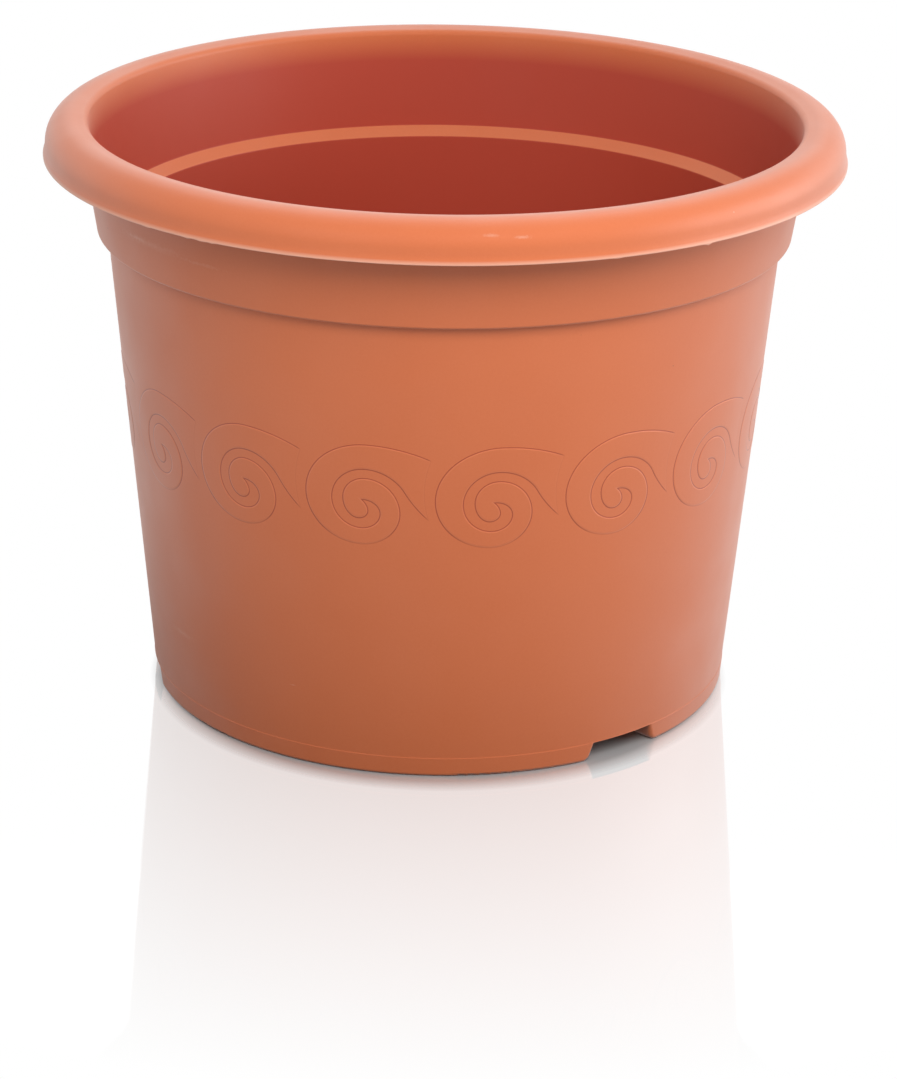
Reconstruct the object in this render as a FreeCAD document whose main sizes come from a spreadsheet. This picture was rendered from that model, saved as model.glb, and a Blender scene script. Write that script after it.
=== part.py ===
"""Tapered plastic flower pot with a rolled rim, a collar, a running-scroll frieze and a notched foot.

The pot stands on z = 0 with its axis on Z, and its front is towards -Y. Lengths are in millimetres, angles in degrees.
The regions of the moulding meet face to face: foot arcs, floor, wall, collar, rim, and the scrolls on the wall.
"""
import FreeCAD, Part
import math
import os
import Sketcher

# Driving dimensions
SIZES = {
    "pot_height": 221.4,        # ground to the crown of the rim
    "rim_radius": 150,          # outer edge of the lip
    "rim_width": 16.47,         # lip in to the collar's inside, at the height of the crown
    "roll_radius": 9.65,        # rounding from the rim's top to its skirt, outside
    "rim_slope": 10,            # fall of the rim's top towards the inside
    "rim_edge": 2.6,            # rounding of the rim's inner edge
    "hollow_corner": 1.6,       # rounding under that edge, in the hollow of the rim
    "lip_drop": 14.25,          # crown of the rim down to the lip
    "lip_thickness": 2.6,       # skirt of the rim, at the lip
    "skirt_lean": 4.6,          # angle at which the skirt leans out
    "bead_width": 0.45,         # moulding bead on the lip, outwards
    "bead_height": 0.8,         # moulding bead on the lip, upwards
    "rim_joint_drop": 3,        # collar hands over to the rim this far below the roll
    "wall_thickness": 3.6,      # square to the wall
    "wall_taper": 5.05,         # lean of the wall
    "collar_taper": 8.8,        # lean of the collar
    "collar_drop": 43.1,        # crown of the rim down to the underside of the collar
    "collar_step": 3.8,         # how far the collar stands out from the wall
    "collar_edge": 1.2,         # rounding of the collar's lower edge
    "ledge_height": 0.7,        # inner edge of the ledge above the collar's underside
    "ledge_rise": 3.5,          # climb of the ledge from its inner to its outer edge
    "ledge_edge": 0.9,          # rounding of the ledge's two edges
    "foot_height": 7.4,         # ground to the underside of the floor
    "foot_step": 0.2,           # mould line: the foot stands this far proud of the wall
    "foot_edge": 1.4,           # rounding of the foot's outer lower edge and outer ends
    "foot_arcs": 3,             # arcs of the foot, with a run-off notch between each two
    "foot_return": 16,          # reach of the walls that turn in along a notch, from the foot's outside
    "return_thickness": 3.6,    # of those walls, at the ground
    "notch_width": 26.4,        # along the foot's outside, at the top of the notch
    "notch_slant": 18,          # lean of the notch's sides, which open towards the ground
    "notch_corner": 3.4,        # rounding of a foot arc's ends where they meet the ground
    "notch_angle": 38.4,        # first notch, from the front towards +X
    "floor_thickness": 3.2,
    "floor_corner": 4,          # rounding between floor and wall, inside
    "drain_holes": 6,
    "drain_radius": 6,
    "drain_inset": 24,          # edge of the floor to the middle of a drain hole
    "scroll_count": 16,
    "scroll_height": 39.2,      # lowest to highest point of a scroll
    "scroll_eye_height": 110.4, # eye of a scroll above the ground
    "scroll_relief": 0.8,       # how far a scroll stands out from the wall
    "scroll_gap": 3.6,          # between a scroll's tail and its neighbour
    "scroll_angle": 9.43,       # first eye, from the front towards +X
}

# Dimensions that follow from the driving ones
DERIVED = {
    "slope": "tan(Sizes.wall_taper * 1 deg)",
    "wall_span": "Sizes.wall_thickness / cos(Sizes.wall_taper * 1 deg)",
    "lean_cos": "cos(Sizes.skirt_lean * 1 deg)",
    "lean_sin": "sin(Sizes.skirt_lean * 1 deg)",
    "collar_cos": "cos(Sizes.collar_taper * 1 deg)",
    "collar_sin": "sin(Sizes.collar_taper * 1 deg)",
    "collar_slope": "collar_sin / collar_cos",
    "collar_span": "Sizes.wall_thickness / collar_cos",
    "fall_cos": "cos(Sizes.rim_slope * 1 deg)",
    "fall_sin": "sin(Sizes.rim_slope * 1 deg)",
    "fall": "fall_sin / fall_cos",
    # the roll touches the crown's height and the skirt's outside
    "lip_height": "Sizes.pot_height - Sizes.lip_drop",
    "skirt_lip_radius": "Sizes.rim_radius - Sizes.bead_width",
    "roll_reach": "(Sizes.roll_radius - (Sizes.roll_radius - Sizes.lip_drop) * lean_sin) / lean_cos",
    "roll_centre": "skirt_lip_radius - roll_reach",
    "roll_height": "Sizes.pot_height - Sizes.roll_radius",
    "hollow_radius": "Sizes.roll_radius - Sizes.wall_thickness",
    "mouth_radius": "Sizes.rim_radius - Sizes.rim_width",
    "collar_crown_radius": "mouth_radius + collar_span",
    # where the rim's sloping top meets the collar's inside, and its underside the collar's outside
    "edge_height": "(roll_height + Sizes.roll_radius / fall_cos + (mouth_radius - Sizes.pot_height * collar_slope"
                   " - roll_centre) * fall) / (1 - collar_slope * fall)",
    "edge_radius": "mouth_radius + (edge_height - Sizes.pot_height) * collar_slope",
    "nook_height": "(roll_height + hollow_radius / fall_cos + (collar_crown_radius - Sizes.pot_height * collar_slope"
                   " - roll_centre) * fall) / (1 - collar_slope * fall)",
    "nook_radius": "collar_crown_radius + (nook_height - Sizes.pot_height) * collar_slope",
    "edge_setback": "Sizes.rim_edge * tan((90 - Sizes.collar_taper - Sizes.rim_slope) / 2 * 1 deg)",
    "nook_setback": "Sizes.hollow_corner * tan((90 - Sizes.collar_taper - Sizes.rim_slope) / 2 * 1 deg)",
    "step_height": "Sizes.pot_height - Sizes.collar_drop",
    "collar_low_radius": "collar_crown_radius - Sizes.collar_drop * collar_slope",
    "wall_step_radius": "collar_low_radius - Sizes.collar_step",
    "base_radius": "wall_step_radius - step_height * slope",
    "wall_foot_radius": "base_radius + Sizes.foot_height * slope",
    "ledge_low_height": "step_height + Sizes.ledge_height",
    "ledge_low_radius": "base_radius + ledge_low_height * slope - wall_span",
    "ledge_high_height": "ledge_low_height + Sizes.ledge_rise",
    "ledge_high_radius": "collar_low_radius + (ledge_high_height - step_height) * collar_slope - collar_span",
    "joint_height": "roll_height - Sizes.rim_joint_drop",
    "joint_radius": "collar_low_radius + (joint_height - step_height) * collar_slope",
    "floor_top": "Sizes.foot_height + Sizes.floor_thickness",
    "wall_floor_radius": "base_radius + floor_top * slope - wall_span",
    "floor_radius": "wall_floor_radius - Sizes.floor_corner",
    "drain_circle_radius": "floor_radius - Sizes.drain_inset",
    "foot_sweep": "360 / Sizes.foot_arcs - Sizes.notch_width / base_radius * 180 / pi",
    "notch_lean": "Sizes.foot_height * tan(Sizes.notch_slant * 1 deg)",
    "return_span": "Sizes.return_thickness + notch_lean",
    "return_radius": "base_radius - Sizes.foot_return",
    "hollow_sweep": "foot_sweep - 2 * return_span / return_radius * 180 / pi",
    "scroll_radius": "base_radius + Sizes.scroll_eye_height * slope",
    "scroll_pitch": "2 * pi * scroll_radius / Sizes.scroll_count",
    "frieze_low": "Sizes.scroll_eye_height - Sizes.scroll_height",
    "frieze_low_radius": "base_radius + frieze_low * slope",
    "frieze_tall": "2 * Sizes.scroll_height",
    "frieze_high_radius": "frieze_low_radius + frieze_tall * slope",
}

# Scroll outline, from its eye, as shares of its pitch (across, to the right) and of its height (up).
# Each turn is named by its topmost, leftmost, lowest and rightmost points in that order, joined by quarter ellipses.
OUTER_TURNS = (
    (0.034, 0.555), (-0.460, 0.036), (-0.032, -0.445), (0.279, -0.109),
    (0.015, 0.223), (-0.165, 0.013), (-0.042, -0.184), (0.036, -0.099),
)
INNER_TURNS = ((0.017, 0.304), (-0.245, 0.000), (-0.026, -0.272), (0.122, -0.120))
EYE = (-0.006, 0.004)
EYE_APPROACH = (0.036, -0.043)      # the outer edge comes to the eye from here, at a slant
TAIL_TOP = (0.517, 0.428)           # the tail falls away from the first topmost point to here
TAIL_CREST = (0.290, 0.555)
TAIL_FOOT = (0.496, -0.178)         # the tail's lower edge ends here, after a convex and a concave stretch
TAIL_SHOULDER = (0.212, 0.304)
TAIL_BEND = (0.309, 0.101)
TAIL_HOLLOW = (0.384, -0.056)

TOUCH = 1e-4                        # two lengths closer than this are the same
FULL_TURN = 360


def fill_sheet(doc, name, rows):
    """A sheet with one named cell for each entry."""
    sheet = doc.addObject("Spreadsheet::Sheet", name)
    for row, (alias, content) in enumerate(rows.items(), start=1):
        cell = f"B{row}"
        sheet.set(f"A{row}", alias)
        sheet.set(cell, content)
        sheet.setAlias(cell, alias)
    doc.recompute()
    return sheet


def size(name):
    """The present value of a driving or derived dimension."""
    sheet = sizes if name in SIZES else derived
    return float(getattr(sheet, name))


def new_body(name):
    body = doc.addObject("PartDesign::Body", name)
    body.Label = name
    return body


def plane(body, role):
    return next(feature for feature in body.Origin.OriginFeatures if feature.Role == role)


def sketch_on(body, name, role):
    sketch = body.newObject("Sketcher::SketchObject", name)
    sketch.AttachmentSupport = [(plane(body, role), "")]
    sketch.MapMode = "FlatFace"
    return sketch


def bind(sketch, constraint, expression):
    """Adds a dimension to a sketch and ties it to the sheets."""
    index = sketch.addConstraint(constraint)
    sketch.setExpression(f"Constraints[{index}]", expression)


def place_vertex(sketch, edge, end, across, up):
    """Ties a sketch vertex to its two distances from the origin."""
    bind(sketch, Sketcher.Constraint("DistanceX", -1, 1, edge, end, sketch.evalExpression(across)), across)
    bind(sketch, Sketcher.Constraint("DistanceY", -1, 1, edge, end, sketch.evalExpression(up)), up)


def draw_section(body, name, outline, role="XZ_Plane"):
    """A closed section in an upright plane, as a rule the r-z half plane.

    Each corner is (radius, height), the edge to the next corner is straight, and a third entry makes it an arc:
    (sign of the turn, radius of the arc).
    """
    sketch = sketch_on(body, name, role)
    points = []
    for corner in outline:
        points.append(FreeCAD.Vector(sketch.evalExpression(corner[0]), sketch.evalExpression(corner[1]), 0))
    for index, corner in enumerate(outline):
        start = points[index]
        end = points[(index + 1) % len(points)]
        if len(corner) == 2:
            sketch.addGeometry(Part.LineSegment(start, end))
        else:
            turn, radius = corner[2]
            bulge = sketch.evalExpression(radius)
            half = (end - start) / 2
            sagitta = bulge - math.sqrt(bulge ** 2 - half.Length ** 2)
            side = FreeCAD.Vector(half.y, -half.x, 0).normalize() * turn
            sketch.addGeometry(Part.Arc(start, start + half + side * sagitta, end))
    for index, corner in enumerate(outline):
        following = (index + 1) % len(outline)
        sketch.addConstraint(Sketcher.Constraint("Coincident", index, last_end(outline, index),
                                                 following, first_end(outline, following)))
        place_vertex(sketch, index, first_end(outline, index), corner[0], corner[1])
        if len(corner) == 3:
            radius = corner[2][1]
            bind(sketch, Sketcher.Constraint("Radius", index, sketch.evalExpression(radius)), radius)
    doc.recompute()
    return sketch


def is_clockwise_arc(outline, index):
    return len(outline[index]) == 3 and outline[index][2][0] < 0


def first_end(outline, index):
    """Sketch arcs always run anticlockwise, so a clockwise one has its two ends swapped."""
    return 2 if is_clockwise_arc(outline, index) else 1


def last_end(outline, index):
    return 1 if is_clockwise_arc(outline, index) else 2


def revolve(body, sketch, sweep="360"):
    turned = body.newObject("PartDesign::Revolution", f"{body.Label}_turned")
    turned.Profile = sketch
    turned.ReferenceAxis = (sketch, ["V_Axis"])
    turned.Midplane = True
    turned.setExpression("Angle", sweep)
    doc.recompute()
    return turned


def groove(body, sketch, sweep):
    """Cuts a section away, turned about the axis."""
    whole = body.Shape.Volume
    cut = body.newObject("PartDesign::Groove", f"{body.Label}_groove")
    cut.Profile = sketch
    cut.ReferenceAxis = (sketch, ["V_Axis"])
    cut.Midplane = True
    cut.setExpression("Angle", sweep)
    doc.recompute()
    check_cut(body, whole)
    return cut


def round_edges(body, feature, edges, radius):
    """Rounds the named edges of the body's last feature."""
    fillet = body.newObject("PartDesign::Fillet", f"{body.Label}_{radius.split('.')[-1]}")
    fillet.Base = (feature, edges)
    fillet.setExpression("Radius", radius)
    doc.recompute()
    return fillet


def ring_edges(feature, *rings):
    """Names of the circular edges at the given (radius, height) places."""
    names = []
    for number, edge in enumerate(feature.Shape.Edges, start=1):
        if not isinstance(edge.Curve, Part.Circle):
            continue
        here = (edge.Curve.Radius, edge.Curve.Center.z)
        if any(math.dist(here, (size(radius), size(height))) < TOUCH for radius, height in rings):
            names.append(f"Edge{number}")
    return names


def make_rim():
    """Rolled rim: up the collar's inside, out over the sloping top, down the skirt, and back through the hollow."""
    body = new_body("rim")
    over, under = "Sizes.roll_radius", "Derived.hollow_radius"
    centre, height = "Derived.roll_centre", "Derived.roll_height"
    skirt_rise = "Sizes.bead_height * Derived.lean_sin / Derived.lean_cos"
    outline = [
        ("Derived.joint_radius - Derived.collar_span", "Derived.joint_height"),
        ("Derived.edge_radius - Derived.edge_setback * Derived.collar_sin",
         "Derived.edge_height - Derived.edge_setback * Derived.collar_cos", (-1, "Sizes.rim_edge")),
        ("Derived.edge_radius + Derived.edge_setback * Derived.fall_cos",
         "Derived.edge_height + Derived.edge_setback * Derived.fall_sin"),
        (f"{centre} - {over} * Derived.fall_sin", f"{height} + {over} * Derived.fall_cos", (-1, over)),
        (f"{centre} + {over} * Derived.lean_cos", f"{height} + {over} * Derived.lean_sin"),
        (f"Derived.skirt_lip_radius - {skirt_rise}", "Derived.lip_height + Sizes.bead_height"),
        ("Sizes.rim_radius", "Derived.lip_height + Sizes.bead_height / 2"),
        ("Sizes.rim_radius", "Derived.lip_height"),
        ("Derived.skirt_lip_radius - Sizes.lip_thickness", "Derived.lip_height"),
        (f"{centre} + {under} * Derived.lean_cos", f"{height} + {under} * Derived.lean_sin", (1, under)),
        (f"{centre} - {under} * Derived.fall_sin", f"{height} + {under} * Derived.fall_cos"),
        ("Derived.nook_radius + Derived.nook_setback * Derived.fall_cos",
         "Derived.nook_height + Derived.nook_setback * Derived.fall_sin", (1, "Sizes.hollow_corner")),
        ("Derived.nook_radius - Derived.nook_setback * Derived.collar_sin",
         "Derived.nook_height - Derived.nook_setback * Derived.collar_cos"),
        ("Derived.joint_radius", "Derived.joint_height"),
    ]
    revolve(body, draw_section(body, "rim_section", outline))
    return body


def make_collar():
    """Upright band that stands out from the wall, with the sloping ledge inside it."""
    body = new_body("collar")
    outline = [
        ("Derived.wall_step_radius - Derived.wall_span", "Derived.step_height"),
        ("Derived.wall_step_radius", "Derived.step_height"),
        ("Derived.collar_low_radius", "Derived.step_height"),
        ("Derived.joint_radius", "Derived.joint_height"),
        ("Derived.joint_radius - Derived.collar_span", "Derived.joint_height"),
        ("Derived.ledge_high_radius", "Derived.ledge_high_height"),
        ("Derived.ledge_low_radius", "Derived.ledge_low_height"),
    ]
    turned = revolve(body, draw_section(body, "collar_section", outline))
    low_edge = ring_edges(turned, ("collar_low_radius", "step_height"))
    rounded = round_edges(body, turned, low_edge, "Sizes.collar_edge")
    ledge = ring_edges(rounded, ("ledge_low_radius", "ledge_low_height"), ("ledge_high_radius", "ledge_high_height"))
    round_edges(body, rounded, ledge, "Sizes.ledge_edge")
    return body


def make_wall():
    """Tapered side wall, which turns in at the bottom to take the floor."""
    body = new_body("wall")
    outline = [
        ("Derived.wall_step_radius - Derived.wall_span", "Derived.step_height"),
        ("Derived.wall_floor_radius", "Derived.floor_top"),
        ("Derived.floor_radius", "Derived.floor_top"),
        ("Derived.floor_radius", "Sizes.foot_height"),
        ("Derived.wall_foot_radius", "Sizes.foot_height"),
        ("Derived.wall_step_radius", "Derived.step_height"),
    ]
    turned = revolve(body, draw_section(body, "wall_section", outline))
    round_edges(body, turned, ring_edges(turned, ("wall_floor_radius", "floor_top")), "Sizes.floor_corner")
    return body


def make_floor():
    """Flat floor with a ring of drain holes, the first of them in line with the first notch."""
    body = new_body("floor")
    disc_sketch = sketch_on(body, "floor_disc", "XY_Plane")
    disc_sketch.setExpression("AttachmentOffset.Base.z", "Sizes.foot_height")
    draw_circle(disc_sketch, "Derived.floor_radius")
    disc = body.newObject("PartDesign::Pad", "floor_pad")
    disc.Profile = disc_sketch
    disc.setExpression("Length", "Sizes.floor_thickness")
    doc.recompute()
    hole_sketch = sketch_on(body, "drain_hole", "XY_Plane")
    hole_sketch.setExpression("AttachmentOffset.Base.z", "Derived.floor_top")
    heading = "((Sizes.notch_angle - 90) * 1 deg)"
    draw_circle(hole_sketch, "Sizes.drain_radius", f"Derived.drain_circle_radius * cos{heading}",
                f"Derived.drain_circle_radius * sin{heading}")
    hole = body.newObject("PartDesign::Pocket", "drain_pocket")
    hole.Profile = hole_sketch
    hole.setExpression("Length", "Sizes.floor_thickness")
    doc.recompute()
    ring = body.newObject("PartDesign::PolarPattern", "drain_ring")
    ring.Originals = [hole]
    ring.Axis = (hole_sketch, ["N_Axis"])
    ring.Angle = FULL_TURN
    ring.setExpression("Occurrences", "Sizes.drain_holes")
    body.Tip = ring
    doc.recompute()
    solid_disc = math.pi * size("floor_radius") ** 2 * size("floor_thickness")
    drilled = size("drain_holes") * math.pi * size("drain_radius") ** 2 * size("floor_thickness")
    check_volume(body, solid_disc - drilled)
    return body


def draw_circle(sketch, radius, across="0", up="0"):
    centre = FreeCAD.Vector(sketch.evalExpression(across), sketch.evalExpression(up), 0)
    circle = sketch.addGeometry(Part.Circle(centre, FreeCAD.Vector(0, 0, 1), sketch.evalExpression(radius)))
    bind(sketch, Sketcher.Constraint("Radius", circle, sketch.evalExpression(radius)), radius)
    place_vertex(sketch, circle, 3, across, up)
    doc.recompute()


def check_cut(body, whole):
    """A cut that points away from the solid takes nothing and shows no error of its own."""
    if body.Shape.Volume > whole - TOUCH:
        raise RuntimeError(f"{body.Label}: a cut takes nothing away")


def check_volume(body, expected):
    if not math.isclose(body.Shape.Volume, expected, rel_tol=TOUCH):
        raise RuntimeError(f"{body.Label}: volume {body.Shape.Volume:.1f}, expected {expected:.1f}")


def make_foot(number):
    """One arc of the foot: a wall from notch to notch, which turns in along the notch at both ends."""
    body = new_body(f"foot_{number + 1}")
    outline = [
        ("Derived.return_radius", "Sizes.foot_height"),
        ("Derived.return_radius", "0"),
        ("Derived.base_radius + Sizes.foot_step", "0"),
        ("Derived.wall_foot_radius + Sizes.foot_step", "Sizes.foot_height"),
    ]
    revolve(body, draw_section(body, f"{body.Label}_section", outline), "Derived.foot_sweep")
    slant_ends(body)
    hollow = [
        ("0", "Sizes.foot_height"),
        ("0", "0"),
        ("Derived.base_radius - Derived.wall_span", "0"),
        ("Derived.wall_foot_radius - Derived.wall_span", "Sizes.foot_height"),
    ]
    hollowed = groove(body, draw_section(body, f"{body.Label}_hollow", hollow), "Derived.hollow_sweep")
    cornered = round_edges(body, hollowed, ground_end_edges(hollowed), "Sizes.notch_corner")
    round_edges(body, cornered, outside_edges(cornered), "Sizes.foot_edge")
    arc_pitch = FULL_TURN / size("foot_arcs")
    heading = size("notch_angle") - 90 + arc_pitch * (number + 0.5)
    body.Placement = FreeCAD.Placement(FreeCAD.Vector(), FreeCAD.Rotation(FreeCAD.Vector(0, 0, 1), heading))
    return body


def slant_ends(body):
    """Cuts a wedge from both ends of a foot arc, so that the notch opens towards the ground."""
    whole = body.Shape.Volume
    outline = [
        ("0", "Sizes.foot_height"),
        ("-Derived.notch_lean", "0"),
        ("Derived.notch_lean", "0"),
        ("Derived.notch_lean", "Sizes.foot_height"),
    ]
    sketch = draw_section(body, f"{body.Label}_wedge", outline, "YZ_Plane")
    arc_end = FreeCAD.Rotation(FreeCAD.Vector(0, 1, 0), size("foot_sweep") / 2)
    sketch.AttachmentOffset = FreeCAD.Placement(FreeCAD.Vector(), arc_end)
    sketch.setExpression("AttachmentOffset.Rotation.Angle", "Derived.foot_sweep / 2")
    wedge = body.newObject("PartDesign::Pocket", f"{body.Label}_end")
    wedge.Profile = sketch
    wedge.Reversed = True
    wedge.setExpression("Length", "Sizes.rim_radius")
    doc.recompute()
    check_cut(body, whole)
    one_end = body.Shape.Volume
    both = body.newObject("PartDesign::Mirrored", f"{body.Label}_ends")
    both.Originals = [wedge]
    both.MirrorPlane = (plane(body, "XZ_Plane"), [""])
    body.Tip = both
    doc.recompute()
    check_cut(body, one_end)


def ground_end_edges(feature):
    """The edges where a foot arc's two ends meet the ground."""
    names = []
    hollow_end = math.radians(size("hollow_sweep") / 2)
    for number, edge in enumerate(feature.Shape.Edges, start=1):
        middle = edge.CenterOfMass
        beyond_hollow = math.atan2(abs(middle.y), middle.x) > hollow_end + TOUCH
        if isinstance(edge.Curve, Part.Line) and edge.BoundBox.ZMax < TOUCH and beyond_hollow:
            names.append(f"Edge{number}")
    return names


def outside_edges(feature):
    """The edges around a foot arc's outside, apart from the one along the top."""
    names = []
    for number, edge in enumerate(feature.Shape.Edges, start=1):
        if edge.BoundBox.ZMin < size("foot_height") - TOUCH and all(map(is_outside, edge.Vertexes)):
            names.append(f"Edge{number}")
    return names


def is_outside(vertex):
    """Whether a vertex of a foot arc lies on the foot's outside."""
    outside = size("base_radius") + size("foot_step") + vertex.Z * size("slope")
    return abs(math.hypot(vertex.X, vertex.Y) - outside) < TOUCH


def conic(start, corner, end):
    """A round stretch between two points that leaves and arrives along the lines to the given corner."""
    turn = (corner - start).getAngle(end - corner)
    curve = Part.BezierCurve()
    curve.setPoles([start, corner, end])
    curve.setWeight(2, math.cos(turn / 2))
    return curve.toShape()


def scroll_point(share):
    across, up = share
    return FreeCAD.Vector(across * size("scroll_pitch"), 0, size("scroll_eye_height") + up * size("scroll_height"))


def quarter_turns(extremes):
    """Quarter ellipses through topmost, leftmost, lowest and rightmost points in turn."""
    edges = []
    for index, (start, end) in enumerate(zip(extremes, extremes[1:])):
        corner = (end[0], start[1]) if index % 2 == 0 else (start[0], end[1])
        edges.append(conic(scroll_point(start), scroll_point(corner), scroll_point(end)))
    return edges


def scroll_outline():
    """The raised band of one scroll: tail, outer edge in to the eye, inner edge out again, and the tail's end."""
    eye = scroll_point(EYE)
    tail_top = scroll_point(TAIL_TOP)
    tail_foot = scroll_point(TAIL_FOOT)
    tail_bend = scroll_point(TAIL_BEND)
    neighbour = OUTER_TURNS[1]
    waist = scroll_point((1 + neighbour[0], neighbour[1]))
    waist.x -= size("scroll_gap")
    inner_corner = scroll_point((INNER_TURNS[-1][0], EYE[1]))
    edges = [conic(tail_top, scroll_point(TAIL_CREST), scroll_point(OUTER_TURNS[0]))]
    edges += quarter_turns(OUTER_TURNS)
    edges.append(conic(scroll_point(OUTER_TURNS[-1]), scroll_point(EYE_APPROACH), eye))
    edges.append(conic(eye, inner_corner, scroll_point(INNER_TURNS[-1])))
    edges += reversed(quarter_turns(INNER_TURNS))
    edges.append(conic(scroll_point(INNER_TURNS[0]), scroll_point(TAIL_SHOULDER), tail_bend))
    edges.append(conic(tail_bend, scroll_point(TAIL_HOLLOW), tail_foot))
    edges.append(Part.Arc(tail_foot, waist, tail_top).toShape())
    return Part.Face(Part.Wire(Part.__sortEdges__(edges)))


def frieze_cone(name, relief):
    cone = doc.addObject("Part::Cone", name)
    cone.setExpression("Radius1", f"Derived.frieze_low_radius + {relief}")
    cone.setExpression("Radius2", f"Derived.frieze_high_radius + {relief}")
    cone.setExpression("Height", "Derived.frieze_tall")
    cone.setExpression("Placement.Base.z", "Derived.frieze_low")
    return cone


def make_scroll_pattern():
    """One scroll at the front of the pot: its outline carried through to the thin layer around the wall."""
    outline = doc.addObject("Part::Feature", "scroll_outline")
    outline.Shape = scroll_outline()
    prism = doc.addObject("Part::Extrusion", "scroll_prism")
    prism.Base = outline
    prism.DirMode = "Custom"
    prism.Dir = FreeCAD.Vector(0, -1, 0)
    prism.Solid = True
    prism.setExpression("LengthFwd", "Sizes.rim_radius")
    layer = doc.addObject("Part::Cut", "frieze_layer")
    layer.Base = frieze_cone("frieze_face", "Sizes.scroll_relief")
    layer.Tool = frieze_cone("frieze_seat", "0")
    scroll = doc.addObject("Part::Common", "scroll_pattern")
    scroll.Base = prism
    scroll.Tool = layer
    doc.recompute()
    return scroll


def make_scroll(number, pattern):
    scroll = doc.addObject("Part::Feature", f"scroll_{number + 1:02d}")
    scroll.Shape = pattern.Shape
    heading = size("scroll_angle") + FULL_TURN / size("scroll_count") * number
    scroll.Placement = FreeCAD.Placement(FreeCAD.Vector(), FreeCAD.Rotation(FreeCAD.Vector(0, 0, 1), heading))
    return scroll


def check_document():
    for item in doc.Objects:
        if any(state in ("Invalid", "Error") for state in item.State):
            raise RuntimeError(f"{item.Label} failed: {item.State}")


def write_parts(parts):
    for part in parts:
        if part.Shape.isNull() or not part.Shape.isValid() or not part.Shape.Solids:
            raise RuntimeError(f"{part.Label} has no valid solid")
    os.makedirs("parts", exist_ok=True)
    for part in parts:
        part.Shape.exportStep(f"parts/{part.Label}.step")
        print(f"{part.Label}: {len(part.Shape.Solids)} solid, {part.Shape.Volume / 1000:.2f} cm3")


doc = FreeCAD.newDocument("flower_pot")
sizes = fill_sheet(doc, "Sizes", {name: str(value) for name, value in SIZES.items()})
derived = fill_sheet(doc, "Derived", {name: f"={formula}" for name, formula in DERIVED.items()})
pattern = make_scroll_pattern()
parts = [make_rim(), make_collar(), make_wall(), make_floor()]
parts += [make_foot(number) for number in range(SIZES["foot_arcs"])]
parts += [make_scroll(number, pattern) for number in range(SIZES["scroll_count"])]
doc.recompute()
check_document()
write_parts(parts)
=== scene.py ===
"""Looks of a terracotta plastic flower pot with a running-scroll frieze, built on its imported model."""

import math

import bpy
from mathutils import Matrix, Vector


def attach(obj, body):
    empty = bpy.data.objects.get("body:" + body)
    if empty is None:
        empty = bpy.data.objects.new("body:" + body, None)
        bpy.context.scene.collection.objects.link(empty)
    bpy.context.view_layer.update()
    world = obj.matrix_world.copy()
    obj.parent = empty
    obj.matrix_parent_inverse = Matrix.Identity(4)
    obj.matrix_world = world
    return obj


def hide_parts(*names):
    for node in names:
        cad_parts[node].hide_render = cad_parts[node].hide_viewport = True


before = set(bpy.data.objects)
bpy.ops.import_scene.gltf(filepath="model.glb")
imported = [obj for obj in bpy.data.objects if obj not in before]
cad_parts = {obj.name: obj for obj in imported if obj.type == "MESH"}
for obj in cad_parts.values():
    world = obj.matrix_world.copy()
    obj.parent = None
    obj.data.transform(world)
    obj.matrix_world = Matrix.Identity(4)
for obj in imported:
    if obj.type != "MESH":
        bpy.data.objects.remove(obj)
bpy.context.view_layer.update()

MM = 0.001                              # the frame is in metres
FRONT = Vector((0, -1, 0))              # the pot's front faces the camera

# Driving sizes of the pot, as its solids have them
POT_HEIGHT = 221.4 * MM
RIM_RADIUS = 150 * MM
RIM_WIDTH = 16.47 * MM
ROLL_RADIUS = 9.65 * MM
RIM_SLOPE = math.radians(10)
RIM_EDGE = 2.6 * MM
HOLLOW_CORNER = 1.6 * MM
LIP_DROP = 14.25 * MM
LIP_THICKNESS = 2.6 * MM
SKIRT_LEAN = math.radians(4.6)
BEAD_WIDTH = 0.45 * MM
RIM_JOINT_DROP = 3 * MM
WALL_THICKNESS = 3.6 * MM
WALL_TAPER = math.radians(5.05)
COLLAR_TAPER = math.radians(8.8)
COLLAR_DROP = 43.1 * MM
COLLAR_STEP = 3.8 * MM
COLLAR_EDGE = 1.2 * MM
LEDGE_HEIGHT = 0.7 * MM
LEDGE_RISE = 3.5 * MM
LEDGE_EDGE = 0.9 * MM
FOOT_HEIGHT = 7.4 * MM
FLOOR_THICKNESS = 3.2 * MM
FLOOR_CORNER = 4 * MM
DRAIN_HOLES = 6
DRAIN_RADIUS = 6 * MM
DRAIN_INSET = 24 * MM
NOTCH_ANGLE = math.radians(38.4)
SCROLL_COUNT = 16
SCROLL_HEIGHT = 39.2 * MM
SCROLL_EYE_HEIGHT = 110.4 * MM
SCROLL_GAP = 3.6 * MM
SCROLL_ANGLE = math.radians(9.43)

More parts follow.
